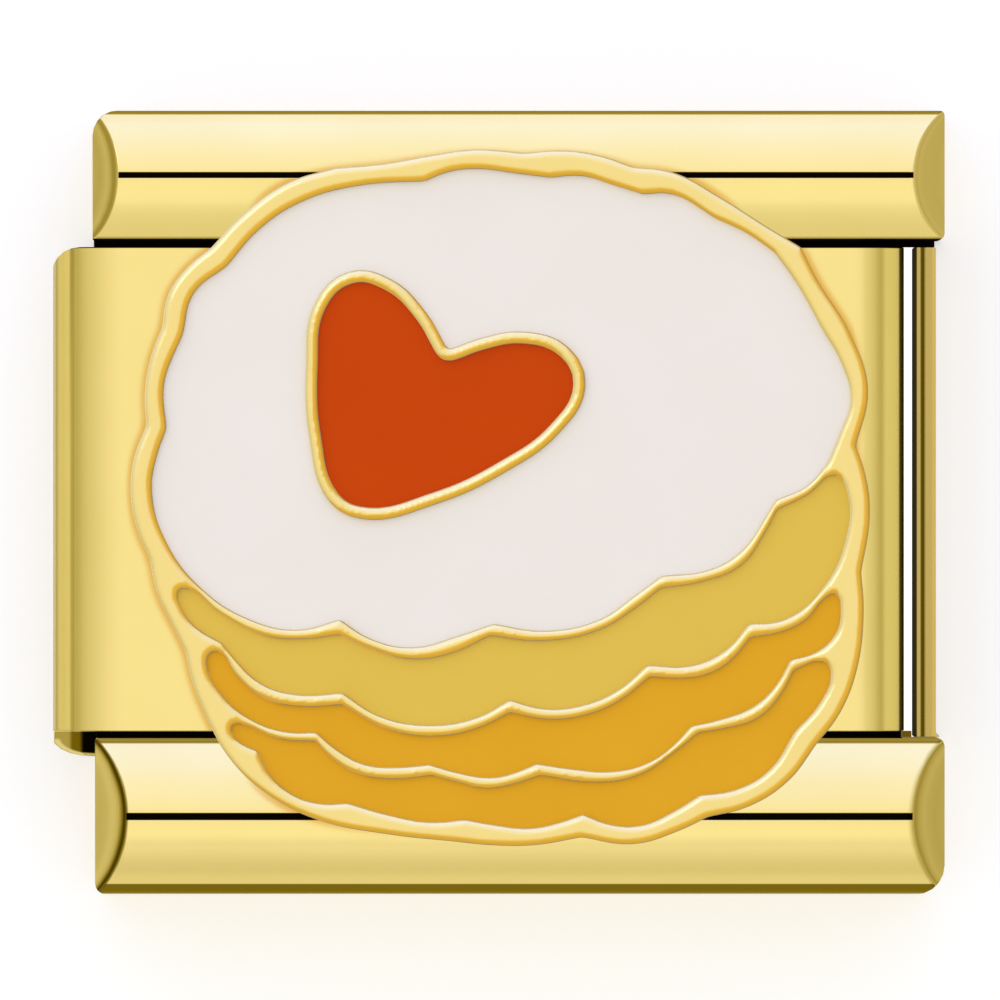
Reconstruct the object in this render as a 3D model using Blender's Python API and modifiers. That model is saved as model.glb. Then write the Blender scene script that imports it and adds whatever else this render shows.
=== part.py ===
"""Gold bracelet link that carries an enamelled plate in the shape of an iced biscuit with a heart.

The link lies on its back, face up along +Z, with its long side along X. The origin is the middle of its
underside. Two rounded rails run along X. Between them a flat sleeve of folded sheet turns over at both
ends, and a narrow hook bar stands past a slit at the right end. The plate rests on the rails and the sleeve.
Its raised rim and walls part five recessed cells, each filled with enamel to just under the walls' tops.
"""

import math

import bmesh
import bpy
from mathutils import Vector
from mathutils.geometry import interpolate_bezier

MM = 0.001

# Small gap that parts resting on each other keep
FIT_GAP = 0.01 * MM

# How far a cutter reaches past what it cuts
CUT_REACH = 1.0 * MM

# Link, outer size and the heights that its pieces share
LINK_LENGTH = 10.24 * MM
LINK_WIDTH = 9.00 * MM
CREST_HEIGHT = 2.60 * MM

# Rails, both as wide as they look from the front, which isn't the same width
TOP_RAIL_WIDTH = 1.49 * MM
TOP_RAIL_LEFT = -4.66 * MM
TOP_RAIL_BEVELS = (0.30 * MM, 0.36 * MM)
TOP_RAIL_CORNERS = (0.02 * MM, 0.08 * MM, 0.06 * MM, 0.29 * MM)
TOP_GROOVE_WIDTH = 0.070 * MM
BOTTOM_RAIL_WIDTH = 1.80 * MM
BOTTOM_RAIL_LEFT = -4.63 * MM
BOTTOM_RAIL_BEVELS = (0.36 * MM, 0.37 * MM)
BOTTOM_RAIL_CORNERS = (0.13 * MM, 0.34 * MM, 0.10 * MM, 0.04 * MM)
BOTTOM_GROOVE_WIDTH = 0.085 * MM
RAIL_RIGHT = LINK_LENGTH / 2
RAIL_CROWN = 0.36 * MM
RAIL_EDGE = 0.30 * MM
RAIL_TRIM = 0.01 * MM
BEVEL_DROP = 0.46 * MM
GROOVE_DEPTH = 0.07 * MM
GROOVE_STOP = 0.015 * MM

# Corner radii of the groove's ends, as a share of its width
GROOVE_ROUND_END = 0.45
GROOVE_SQUARE_END = 0.05

# Low ledge on each rail's inner side, which closes the gap beside the sleeve from below
LEDGE_HEIGHT = 0.50 * MM
LEDGE_REACH = 0.07 * MM

# Sleeve of folded sheet between the rails
SLEEVE_LEFT = -LINK_LENGTH / 2
SLEEVE_RIGHT = 4.66 * MM
SLEEVE_BOTTOM = -2.62 * MM
SLEEVE_TOP = 2.93 * MM
SLEEVE_SHEET = 0.35 * MM
LEFT_FOLD = 0.90 * MM
RIGHT_FOLD = 0.60 * MM
TONGUE_CORNER = (0.33 * MM, 0.28 * MM)
EAR_CORNER = (0.48 * MM, 0.22 * MM)
EAR_DROP = 0.30 * MM
EAR_HEIGHT = 1.20 * MM
SHEET_EDGE = 0.025 * MM

# Hook bar past the slit at the right end
BAR_LEFT = 4.765 * MM
BAR_RIGHT = 5.02 * MM
BAR_HEIGHT = 1.90 * MM
BAR_SEAM = (4.850 * MM, 4.898 * MM)
BAR_SEAM_DEPTH = 0.10 * MM
BAR_WEB = 0.05 * MM

# Plate, its walls and its enamel
PLATE_BOTTOM = CREST_HEIGHT + FIT_GAP
PLATE_THICKNESS = 0.80 * MM
PLATE_FLOOR = 0.42 * MM
WALL_EDGE = 0.05 * MM
HEART_WALL = 0.115 * MM
ENAMEL_BELOW_WALL = 0.07 * MM

# How far a cell's cutter goes on past the plate's top, as a share of its last step
FLARE_OVERSHOOT = 0.2

# How finely outlines are followed
OUTLINE_STEP = 0.11 * MM
SMOOTH_HANDLE = 0.39
CORNER_HANDLE = 1 / 3
ARC_STEPS = 5
FOLD_STEPS = 12
CROWN_STEPS = 16
EDGE_STEPS = 3
FLARE_STEPS = 2
SMOOTH_ANGLE = math.radians(38)

# Outlines of the plate and its cells, in millimetres from the origin. Each row is one scallop: its first
# point is the notch or the peak where the scallop starts, and the others lie on its smooth run.
PLATE_OUTLINE = (
    ((0.30, 3.99), (0.74, 4.02), (1.16, 3.96)),
    ((1.54, 3.83), (1.99, 3.77), (2.54, 3.48), (3.11, 3.12)),
    ((3.46, 2.91), (3.64, 2.55), (4.03, 1.91), (4.22, 1.29)),
    ((4.08, 0.65), (4.19, 0.32), (4.24, -0.14)),
    ((4.14, -0.80), (4.17, -1.23), (4.09, -1.92), (3.89, -2.42)),
    ((3.63, -2.76), (3.32, -3.17), (2.86, -3.47)),
    ((2.39, -3.59), (2.08, -3.74), (1.54, -3.90)),
    ((0.95, -3.82), (0.42, -3.91), (-0.10, -3.91)),
    ((-0.50, -3.87), (-1.24, -3.79), (-2.10, -3.61), (-2.71, -3.28), (-3.11, -2.87)),
    ((-3.31, -2.51), (-3.47, -2.13)),
    ((-3.58, -1.69), (-3.73, -1.39), (-3.90, -1.03)),
    ((-3.98, -0.65), (-4.14, -0.26), (-4.20, 0.12), (-4.16, 0.51)),
    ((-4.02, 0.88), (-4.04, 1.23), (-3.96, 1.69)),
    ((-3.84, 2.00), (-3.77, 2.38), (-3.54, 2.70)),
    ((-3.28, 2.91), (-2.94, 3.27), (-2.41, 3.65)),
    ((-1.86, 3.82), (-1.30, 3.87), (-0.79, 3.96), (-0.27, 4.03)),
)
ICING_OUTLINE = (
    ((-3.81, 0.85), (-3.84, 1.35)),
    ((-3.62, 1.94), (-3.50, 2.40)),
    ((-3.12, 2.71), (-2.73, 3.15), (-2.22, 3.47), (-1.59, 3.64)),
    ((-0.84, 3.69), (-0.56, 3.80), (-0.21, 3.83), (0.19, 3.78)),
    ((0.59, 3.73), (0.96, 3.75), (1.30, 3.65)),
    ((1.65, 3.54), (1.99, 3.54)),
    ((2.49, 3.26), (2.85, 3.09)),
    ((3.17, 2.87), (3.40, 2.55)),
    ((3.71, 2.00), (3.93, 1.61), (4.04, 1.18), (3.92, 0.80)),
    ((3.78, 0.46), (3.55, 0.19)),
    ((3.18, 0.02), (3.06, -0.18), (2.79, -0.56), (2.42, -0.78)),
    ((1.87, -0.85), (1.57, -1.07), (1.16, -1.35), (0.53, -1.48)),
    ((-0.06, -1.40), (-0.44, -1.53), (-0.98, -1.67), (-1.47, -1.57)),
    ((-1.82, -1.35), (-2.31, -1.47), (-2.85, -1.35), (-3.39, -1.01), (-3.82, -0.44), (-3.98, 0.14),
     (-3.92, 0.54)),
)
HEART_OUTLINE = (
    ((-0.58, 1.63), (-0.51, 1.64), (-0.21, 1.75), (0.30, 1.83), (0.72, 1.68), (0.87, 1.35), (0.61, 0.89),
     (0.02, 0.46), (-0.76, 0.10), (-1.57, -0.06), (-1.84, 0.09), (-2.04, 0.74), (-2.08, 1.58),
     (-1.99, 2.23), (-1.68, 2.52), (-1.30, 2.45), (-0.92, 2.09), (-0.74, 1.78), (-0.70, 1.71), (-0.65, 1.66)),
)
UPPER_LAYER_OUTLINE = (
    ((-1.82, -1.50), (-1.45, -1.66), (-0.99, -1.78), (-0.53, -1.71)),
    ((-0.10, -1.51), (0.48, -1.57), (1.14, -1.45), (1.57, -1.19)),
    ((1.85, -0.97), (2.34, -0.89), (2.77, -0.71), (3.04, -0.34)),
    ((3.18, -0.07), (3.55, 0.11), (3.86, 0.33), (4.01, 0.09), (4.00, -0.37), (3.72, -0.99), (3.28, -1.35)),
    ((2.87, -1.40), (2.62, -1.69), (2.20, -1.88)),
    ((1.71, -1.87), (1.37, -2.16), (0.93, -2.34), (0.51, -2.37)),
    ((0.13, -2.27), (-0.24, -2.47), (-0.79, -2.56), (-1.38, -2.45)),
    ((-1.79, -2.19), (-2.30, -2.21), (-2.71, -2.09), (-3.00, -1.83)),
    ((-3.17, -1.62), (-3.48, -1.43), (-3.65, -1.18), (-3.68, -1.00), (-3.57, -0.97), (-3.16, -1.27),
     (-2.68, -1.51), (-2.24, -1.55)),
)
MIDDLE_LAYER_OUTLINE = (
    ((-2.09, -2.64), (-1.87, -2.83), (-1.53, -3.01), (-1.13, -3.04)),
    ((-0.79, -3.01), (-0.44, -3.11), (-0.07, -3.16), (0.20, -3.10)),
    ((0.44, -3.00), (0.84, -3.06), (1.31, -3.09), (1.74, -2.98), (2.02, -2.78)),
    ((2.21, -2.57), (2.56, -2.49), (2.95, -2.33), (3.20, -2.08)),
    ((3.35, -1.81), (3.63, -1.73), (3.87, -1.51), (3.93, -1.23), (3.87, -1.03), (3.72, -1.09),
     (3.53, -1.32), (3.23, -1.47)),
    ((2.88, -1.53), (2.63, -1.82), (2.37, -1.96), (2.06, -2.00)),
    ((1.73, -1.98), (1.39, -2.25), (1.03, -2.41), (0.59, -2.47)),
    ((0.13, -2.39), (-0.19, -2.55), (-0.67, -2.66), (-1.24, -2.59)),
    ((-1.78, -2.30), (-2.28, -2.32), (-2.68, -2.23), (-3.00, -1.95), (-3.16, -1.71), (-3.30, -1.70),
     (-3.35, -1.84), (-3.18, -2.20), (-2.83, -2.50), (-2.41, -2.64)),
)
BOTTOM_LAYER_OUTLINE = (
    ((-2.76, -2.85), (-2.65, -3.09), (-2.37, -3.35), (-2.02, -3.46)),
    ((-1.73, -3.45), (-1.24, -3.59), (-0.79, -3.67)),
    ((-0.38, -3.64), (-0.04, -3.70), (0.36, -3.74), (0.71, -3.67)),
    ((0.97, -3.58), (1.26, -3.69), (1.62, -3.71), (2.02, -3.54)),
    ((2.31, -3.36), (2.71, -3.30), (3.11, -3.07)),
    ((3.40, -2.63), (3.69, -2.30), (3.82, -1.94), (3.74, -1.81)),
    ((3.37, -1.91), (3.25, -2.15), (2.96, -2.46), (2.60, -2.57)),
    ((2.29, -2.62), (2.00, -2.85), (1.62, -3.10), (1.16, -3.19)),
    ((0.48, -3.11), (0.13, -3.22), (-0.15, -3.26), (-0.46, -3.19)),
    ((-0.76, -3.11), (-1.19, -3.15), (-1.61, -3.09), (-1.89, -2.92)),
    ((-2.08, -2.72), (-2.51, -2.69), (-2.91, -2.53), (-3.04, -2.52), (-3.07, -2.63), (-2.93, -2.78)),
)

# Colours as they look under soft white light, from 0 to 255
LINK_GOLD = (248, 226, 142)
PLATE_GOLD = (240, 216, 130)
ICING_WHITE = (235, 228, 223)
HEART_RED = (196, 66, 10)
UPPER_OCHRE = (221, 187, 80)
LOWER_AMBER = (220, 162, 36)

# Roughness of the polished link, of the plate, whose polish is softer, and of the enamel
RAIL_ROUGHNESS = 0.22
SLEEVE_ROUGHNESS = 0.25
PLATE_ROUGHNESS = 0.30
ENAMEL_ROUGHNESS = 0.35


def clear_scene():
    for old in list(bpy.data.objects):
        bpy.data.objects.remove(old, do_unlink=True)


def new_collection(name):
    collection = bpy.data.collections.new(name)
    bpy.context.scene.collection.children.link(collection)
    return collection


def linear_colour(colour):
    """Turns a colour from 0 to 255, as a screen shows it, into the linear values that a shader takes."""
    def channel(value):
        value = value / 255
        return value / 12.92 if value <= 0.04045 else ((value + 0.055) / 1.055) ** 2.4
    return (*(channel(value) for value in colour), 1.0)


def new_material(name, colour, roughness, metallic):
    material = bpy.data.materials.new(name)
    material.use_nodes = True
    shader = material.node_tree.nodes["Principled BSDF"]
    shader.inputs["Base Color"].default_value = linear_colour(colour)
    shader.inputs["Roughness"].default_value = roughness
    shader.inputs["Metallic"].default_value = metallic
    return material


def counter_clockwise(points):
    """Returns the outline in the counter-clockwise sense, seen from above."""
    area = sum(a.x * b.y - b.x * a.y for a, b in zip(points, points[1:] + points[:1]))
    return points if area > 0 else points[::-1]


def trace(rows):
    """Follows a closed outline of scallops with Bezier curves: a corner at each row's first point."""
    points = []
    corners = []
    for row in rows:
        for place, (x, y) in enumerate(row):
            points.append(Vector((x * MM, y * MM)))
            corners.append(place == 0)
    count = len(points)
    handles = []
    for i, here in enumerate(points):
        before = points[i - 1]
        after = points[(i + 1) % count]
        back = before - here
        ahead = after - here
        if corners[i]:
            handles.append((here + CORNER_HANDLE * back, here + CORNER_HANDLE * ahead))
            continue
        tangent = (ahead.normalized() - back.normalized()).normalized()
        reach = SMOOTH_HANDLE * tangent
        handles.append((here - reach * back.length, here + reach * ahead.length))
    outline = []
    for i, here in enumerate(points):
        after = points[(i + 1) % count]
        steps = max(2, round((after - here).length / OUTLINE_STEP))
        run = interpolate_bezier(here, handles[i][1], handles[(i + 1) % count][0], after, steps + 1)
        outline.extend(Vector(point) for point in run[:-1])
    return counter_clockwise(outline)


def grow(outline, distance):
    """Moves a closed counter-clockwise outline outwards, or inwards where the distance is negative."""
    grown = []
    for before, here, after in zip(outline[-1:] + outline[:-1], outline, outline[1:] + outline[:1]):
        come = (here - before).normalized()
        leave = (after - here).normalized()
        mitre = Vector((come.y + leave.y, -come.x - leave.x))
        grown.append(here + mitre * (2 * distance / mitre.length_squared))
    return grown


def arc(centre, radii, start, end, steps):
    """Points of an ellipse's arc, from one angle in degrees to another."""
    points = []
    for i in range(steps + 1):
        angle = math.radians(start + (end - start) * i / steps)
        offset = Vector((radii[0] * math.cos(angle), radii[1] * math.sin(angle)))
        points.append(Vector(centre) + offset)
    return points


def rounded_box(left, right, low, high, corners):
    """A box seen from above. Its corners have radii of their own, counter-clockwise from the lower left."""
    places = (
        (left, low, 1, 1, 180),
        (right, low, -1, 1, 270),
        (right, high, -1, -1, 0),
        (left, high, 1, -1, 90),
    )
    outline = []
    for (x, y, x_side, y_side, start), radii in zip(places, corners):
        centre = (x + x_side * radii[0], y + y_side * radii[1])
        outline.extend(arc(centre, radii, start, start + 90, ARC_STEPS))
    return outline


def slab(name, collection, outlines, bottom, top, edge=0.0):
    """Extrudes nested outlines: the first is the outside, the next a hole in it, the next an island in that.

    The edge is the radius that rounds the slab's upper and lower edges. It takes nothing from the outline.
    """
    curve = bpy.data.curves.new(name, "CURVE")
    curve.dimensions = "2D"
    curve.fill_mode = "BOTH"
    curve.extrude = (top - bottom) / 2 - edge
    curve.bevel_depth = edge
    curve.bevel_resolution = 1
    curve.offset = -edge
    for outline, depth in outlines:
        points = outline if depth % 2 == 0 else outline[::-1]
        spline = curve.splines.new("POLY")
        spline.points.add(len(points) - 1)
        for spline_point, point in zip(spline.points, points):
            spline_point.co = (point.x, point.y, 0, 1)
        spline.use_cyclic_u = True
    drawn = bpy.data.objects.new(name + "_outline", curve)
    collection.objects.link(drawn)
    depsgraph = bpy.context.evaluated_depsgraph_get()
    mesh = bpy.data.meshes.new_from_object(drawn.evaluated_get(depsgraph))
    mesh.name = name
    bm = bmesh.new()
    bm.from_mesh(mesh)
    bmesh.ops.remove_doubles(bm, verts=bm.verts, dist=FIT_GAP / 100)
    bmesh.ops.translate(bm, verts=bm.verts, vec=(0, 0, (top + bottom) / 2))
    bmesh.ops.recalc_face_normals(bm, faces=bm.faces)
    bm.to_mesh(mesh)
    bm.free()
    bpy.data.objects.remove(drawn, do_unlink=True)
    solid = bpy.data.objects.new(name, mesh)
    collection.objects.link(solid)
    return solid


def as_cutter(solid):
    solid.hide_render = True
    solid.display_type = "WIRE"
    return solid


def combine(solid, cutter, operation):
    modifier = solid.modifiers.new(cutter.name, "BOOLEAN")
    modifier.operation = operation
    modifier.solver = "EXACT"
    modifier.object = cutter


def round_edges(solid, width):
    """Takes the sharpness off every edge where the object's faces meet at more than the smooth angle."""
    modifier = solid.modifiers.new("rounded edges", "BEVEL")
    modifier.width = width
    modifier.segments = 2
    modifier.limit_method = "ANGLE"
    modifier.angle_limit = SMOOTH_ANGLE


def finish(solid, material):
    """Applies the object's cuts, gives it its material and shades its round stretches smooth."""
    depsgraph = bpy.context.evaluated_depsgraph_get()
    mesh = bpy.data.meshes.new_from_object(solid.evaluated_get(depsgraph))
    solid.modifiers.clear()
    solid.data = mesh
    mesh.name = solid.name
    mesh.materials.clear()
    mesh.materials.append(material)
    mesh.shade_smooth()
    mesh.set_sharp_from_angle(angle=SMOOTH_ANGLE)


def rail_profile(width):
    """Cross-section of a rail, flat back down: upright sides, rounded edges and a domed crown."""
    half = width / 2 + RAIL_TRIM
    shoulder = half - RAIL_EDGE * (1 - math.sin(2 * math.atan(RAIL_CROWN / half)))
    lean = 2 * math.atan(RAIL_CROWN / shoulder)
    radius = shoulder / math.sin(lean)
    edge_x = shoulder - RAIL_EDGE * math.sin(lean)
    edge_y = CREST_HEIGHT - RAIL_CROWN - RAIL_EDGE * math.cos(lean)
    tilt = 90 - math.degrees(lean)
    outline = [Vector((-half, 0)), Vector((half, 0))]
    outline += arc((edge_x, edge_y), (RAIL_EDGE, RAIL_EDGE), 0, tilt, EDGE_STEPS)[:-1]
    outline += arc((0, CREST_HEIGHT - radius), (radius, radius), tilt, 180 - tilt, CROWN_STEPS)
    outline += arc((-edge_x, edge_y), (RAIL_EDGE, RAIL_EDGE), 180 - tilt, 180, EDGE_STEPS)[1:]
    return outline


def box(name, collection, low, high):
    """A plain block between two opposite corners."""
    mesh = bpy.data.meshes.new(name)
    bm = bmesh.new()
    bmesh.ops.create_cube(bm, size=1)
    bmesh.ops.scale(bm, verts=bm.verts, vec=[b - a for a, b in zip(low, high)])
    bmesh.ops.translate(bm, verts=bm.verts, vec=[(a + b) / 2 for a, b in zip(low, high)])
    bm.to_mesh(mesh)
    bm.free()
    block = bpy.data.objects.new(name, mesh)
    collection.objects.link(block)
    return block


def bevel_cutter(name, cutters, end, inset, side):
    """A tilted block that slants a rail's end from its crest down to the upright end face."""
    size = LINK_WIDTH
    crest_x = end - side * inset
    slope = math.atan2(side * BEVEL_DROP, inset)
    cutter = box(name, cutters, (-size / 2, -size / 2, 0), (size / 2, size / 2, size / 2))
    cutter.rotation_euler = (0, slope, 0)
    cutter.location = (crest_x, 0, CREST_HEIGHT)
    return as_cutter(cutter)


def make_rail(name, parts, cutters, low, high, left, bevels, corners, groove_width, ledge, ledge_right):
    """A domed bar along X with slanted ends, a fine groove along its crest and a ledge on its inner side."""
    middle = (low + high) / 2
    rail = slab(name, parts, [(rail_profile(high - low), 0)], left - RAIL_TRIM, RAIL_RIGHT + RAIL_TRIM)
    rail.rotation_euler = (math.radians(90), 0, math.radians(90))
    rail.location = (0, middle, 0)
    plan = rounded_box(left, RAIL_RIGHT, low, high, [(radius, radius) for radius in corners])
    footprint = slab(name + "_footprint", cutters, [(plan, 0)], -CUT_REACH, CREST_HEIGHT + CUT_REACH)
    combine(rail, as_cutter(footprint), "INTERSECT")
    combine(rail, bevel_cutter(name + "_left_bevel", cutters, left, bevels[0], -1), "DIFFERENCE")
    combine(rail, bevel_cutter(name + "_right_bevel", cutters, RAIL_RIGHT, bevels[1], 1), "DIFFERENCE")
    groove_low = middle - groove_width / 2
    groove_high = middle + groove_width / 2
    round_end = (GROOVE_ROUND_END * groove_width, GROOVE_ROUND_END * groove_width)
    square_end = (GROOVE_SQUARE_END * groove_width, GROOVE_SQUARE_END * groove_width)
    groove_plan = rounded_box(
        left + bevels[0] + GROOVE_STOP, RAIL_RIGHT - bevels[1] - GROOVE_STOP, groove_low, groove_high,
        [square_end, round_end, round_end, square_end],
    )
    groove_floor = CREST_HEIGHT - GROOVE_DEPTH
    groove = slab(name + "_groove", cutters, [(groove_plan, 0)], groove_floor, CREST_HEIGHT + CUT_REACH)
    combine(rail, as_cutter(groove), "DIFFERENCE")
    foot = box(
        name + "_ledge", cutters, (left, ledge[0], 0), (ledge_right, ledge[1], LEDGE_HEIGHT),
    )
    combine(rail, as_cutter(foot), "UNION")
    return rail


def make_rails(parts, cutters):
    top_low = LINK_WIDTH / 2 - TOP_RAIL_WIDTH
    top = make_rail(
        "rail_top", parts, cutters, top_low, LINK_WIDTH / 2, TOP_RAIL_LEFT, TOP_RAIL_BEVELS,
        TOP_RAIL_CORNERS, TOP_GROOVE_WIDTH, (top_low - LEDGE_REACH, top_low + LEDGE_REACH), BAR_RIGHT,
    )
    bottom_high = BOTTOM_RAIL_WIDTH - LINK_WIDTH / 2
    bottom = make_rail(
        "rail_bottom", parts, cutters, -LINK_WIDTH / 2, bottom_high, BOTTOM_RAIL_LEFT, BOTTOM_RAIL_BEVELS,
        BOTTOM_RAIL_CORNERS, BOTTOM_GROOVE_WIDTH, (bottom_high - LEDGE_REACH, bottom_high + LEDGE_REACH),
        BAR_LEFT - FIT_GAP,
    )
    return top, bottom


def fold_loop(inset):
    """The sleeve's cross-section: flat above and below, turned over in half an ellipse at either end."""
    middle = CREST_HEIGHT / 2
    height = CREST_HEIGHT / 2 - inset
    left = arc((SLEEVE_LEFT + LEFT_FOLD, middle), (LEFT_FOLD - inset, height), 90, 270, FOLD_STEPS)
    right = arc((SLEEVE_RIGHT - RIGHT_FOLD, middle), (RIGHT_FOLD - inset, height), -90, 90, FOLD_STEPS)
    return left + right


def make_sleeve(parts, cutters):
    """A flattened loop of sheet. At the lower left its under half reaches further out, past the rail."""
    low = SLEEVE_BOTTOM - EAR_DROP
    reach = SLEEVE_TOP + RAIL_TRIM
    sleeve = slab("sleeve", parts, [(fold_loop(0), 0), (fold_loop(SLEEVE_SHEET), 1)], -reach, reach)
    sleeve.rotation_euler = (math.radians(90), 0, 0)
    small = (SHEET_EDGE, SHEET_EDGE)
    plan = rounded_box(
        SLEEVE_LEFT - RAIL_TRIM, SLEEVE_RIGHT + CUT_REACH, low, SLEEVE_TOP,
        [EAR_CORNER, small, small, TONGUE_CORNER],
    )
    footprint = slab("sleeve_footprint", cutters, [(plan, 0)], -CUT_REACH, CREST_HEIGHT + CUT_REACH)
    combine(sleeve, as_cutter(footprint), "INTERSECT")
    ear_right = BOTTOM_RAIL_LEFT - FIT_GAP
    beside_ear = [
        Vector((SLEEVE_LEFT - CUT_REACH, EAR_HEIGHT)),
        Vector((ear_right, EAR_HEIGHT)),
        Vector((ear_right, -CUT_REACH)),
        Vector((SLEEVE_RIGHT + CUT_REACH, -CUT_REACH)),
        Vector((SLEEVE_RIGHT + CUT_REACH, CREST_HEIGHT + CUT_REACH)),
        Vector((SLEEVE_LEFT - CUT_REACH, CREST_HEIGHT + CUT_REACH)),
    ]
    trim = slab("sleeve_trim", cutters, [(beside_ear, 0)], -SLEEVE_BOTTOM, -low + CUT_REACH)
    trim.rotation_euler = (math.radians(90), 0, 0)
    combine(sleeve, as_cutter(trim), "DIFFERENCE")
    round_edges(sleeve, SHEET_EDGE)
    return sleeve


def make_hook_bar(parts, cutters):
    """The narrow upright bar right of the slit, with a fine seam and a small web where it meets the rail."""
    low = BOTTOM_RAIL_WIDTH - LINK_WIDTH / 2 + FIT_GAP
    plan = [
        Vector((BAR_LEFT, low)),
        Vector((BAR_RIGHT + BAR_WEB, low)),
        Vector((BAR_RIGHT, low + BAR_WEB)),
        Vector((BAR_RIGHT, SLEEVE_TOP)),
        Vector((BAR_LEFT, SLEEVE_TOP)),
    ]
    bar = slab("hook_bar", parts, [(plan, 0)], 0, BAR_HEIGHT)
    seam = box(
        "hook_bar_seam", cutters, (BAR_SEAM[0], low - CUT_REACH, BAR_HEIGHT - BAR_SEAM_DEPTH),
        (BAR_SEAM[1], SLEEVE_TOP + CUT_REACH, BAR_HEIGHT + CUT_REACH),
    )
    combine(bar, as_cutter(seam), "DIFFERENCE")
    round_edges(bar, SHEET_EDGE)
    return bar


def cell_cutter(name, cutters, outline, floor, top):
    """Hollows out one cell: upright sides that round over outwards just below the plate's top."""
    levels = [(floor, 0)]
    for step in range(FLARE_STEPS + 1):
        turn = math.radians(90) * step / FLARE_STEPS
        levels.append((top - WALL_EDGE + WALL_EDGE * math.sin(turn), WALL_EDGE * (1 - math.cos(turn))))
    (below_z, below_out), (top_z, top_out) = levels[-2:]
    past_z = top_z + FLARE_OVERSHOOT * (top_z - below_z)
    past_out = top_out + FLARE_OVERSHOOT * (top_out - below_out)
    levels[-1] = (past_z, past_out)
    bm = bmesh.new()
    loops = []
    for height, out in levels:
        loops.append([bm.verts.new((point.x, point.y, height)) for point in grow(outline, out)])
    bm.faces.new(loops[0][::-1])
    bm.faces.new(loops[-1])
    for lower, upper in zip(loops, loops[1:]):
        for i in range(len(outline)):
            bm.faces.new((lower[i - 1], lower[i], upper[i], upper[i - 1]))
    mesh = bpy.data.meshes.new(name)
    bm.to_mesh(mesh)
    bm.free()
    cutter = bpy.data.objects.new(name, mesh)
    cutters.objects.link(cutter)
    return as_cutter(cutter)


def make_plate(parts, cutters, heart, cells):
    """The plate: a scalloped slab with a cell cut for each field of enamel and a wall round the heart."""
    floor = PLATE_BOTTOM + PLATE_FLOOR
    top = PLATE_BOTTOM + PLATE_THICKNESS
    plate = slab("charm_plate", parts, [(trace(PLATE_OUTLINE), 0)], PLATE_BOTTOM, top, WALL_EDGE)
    for name, outline in cells.items():
        combine(plate, cell_cutter(name + "_cell", cutters, outline, floor, top), "DIFFERENCE")
    ring = [(grow(heart, HEART_WALL), 0), (heart, 1)]
    wall = slab("heart_wall", cutters, ring, PLATE_BOTTOM + PLATE_FLOOR / 2, top, WALL_EDGE)
    combine(plate, as_cutter(wall), "UNION")
    return plate


def make_enamel(name, parts, outlines):
    """Enamel that fills one cell to just under the top of its walls."""
    bottom = PLATE_BOTTOM + PLATE_FLOOR + FIT_GAP
    top = PLATE_BOTTOM + PLATE_THICKNESS - ENAMEL_BELOW_WALL
    return slab(name, parts, outlines, bottom, top)


def main():
    clear_scene()
    parts = new_collection("iced_biscuit_bracelet_link")
    cutters = new_collection("iced_biscuit_bracelet_link_cutters")

    heart = trace(HEART_OUTLINE)
    cells = {
        "enamel_icing": trace(ICING_OUTLINE),
        "enamel_layer_upper": trace(UPPER_LAYER_OUTLINE),
        "enamel_layer_middle": trace(MIDDLE_LAYER_OUTLINE),
        "enamel_layer_lower": trace(BOTTOM_LAYER_OUTLINE),
    }

    rail_top, rail_bottom = make_rails(parts, cutters)
    finish(rail_top, new_material("rail_top_gold", LINK_GOLD, RAIL_ROUGHNESS, 1.0))
    finish(rail_bottom, new_material("rail_bottom_gold", LINK_GOLD, RAIL_ROUGHNESS, 1.0))
    finish(make_sleeve(parts, cutters), new_material("sleeve_gold", LINK_GOLD, SLEEVE_ROUGHNESS, 1.0))
    finish(make_hook_bar(parts, cutters), new_material("hook_bar_gold", LINK_GOLD, SLEEVE_ROUGHNESS, 1.0))
    plate = make_plate(parts, cutters, heart, cells)
    finish(plate, new_material("plate_gold", PLATE_GOLD, PLATE_ROUGHNESS, 1.0))

    colours = (ICING_WHITE, UPPER_OCHRE, LOWER_AMBER, LOWER_AMBER)
    for (name, cell), colour in zip(cells.items(), colours):
        outlines = [(grow(cell, -FIT_GAP), 0)]
        if name == "enamel_icing":
            outlines.append((grow(heart, HEART_WALL + FIT_GAP), 1))
        enamel = make_enamel(name, parts, outlines)
        finish(enamel, new_material(name + "_colour", colour, ENAMEL_ROUGHNESS, 0.0))
    heart_enamel = make_enamel("enamel_heart", parts, [(grow(heart, -FIT_GAP), 0)])
    finish(heart_enamel, new_material("enamel_heart_colour", HEART_RED, ENAMEL_ROUGHNESS, 0.0))


main()
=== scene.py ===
# %% [markdown]
# # A gold bracelet link with an enamelled biscuit plate
# The object is one link of a stretch bracelet, about ten millimetres long. Two rounded rails hold a sleeve
# of folded sheet, and an enamelled plate in the shape of an iced biscuit sits on top. The CAD model already
# has every solid in its place. This lesson gives each of them a finish, rounds the plate's walls, and sets
# up the light and the camera. Blender counts in metres here and the object is tiny, so the lengths of the
# scene end in "* MM", while the finishes and the work on the meshes count in millimetres.

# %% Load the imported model
import math

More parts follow.
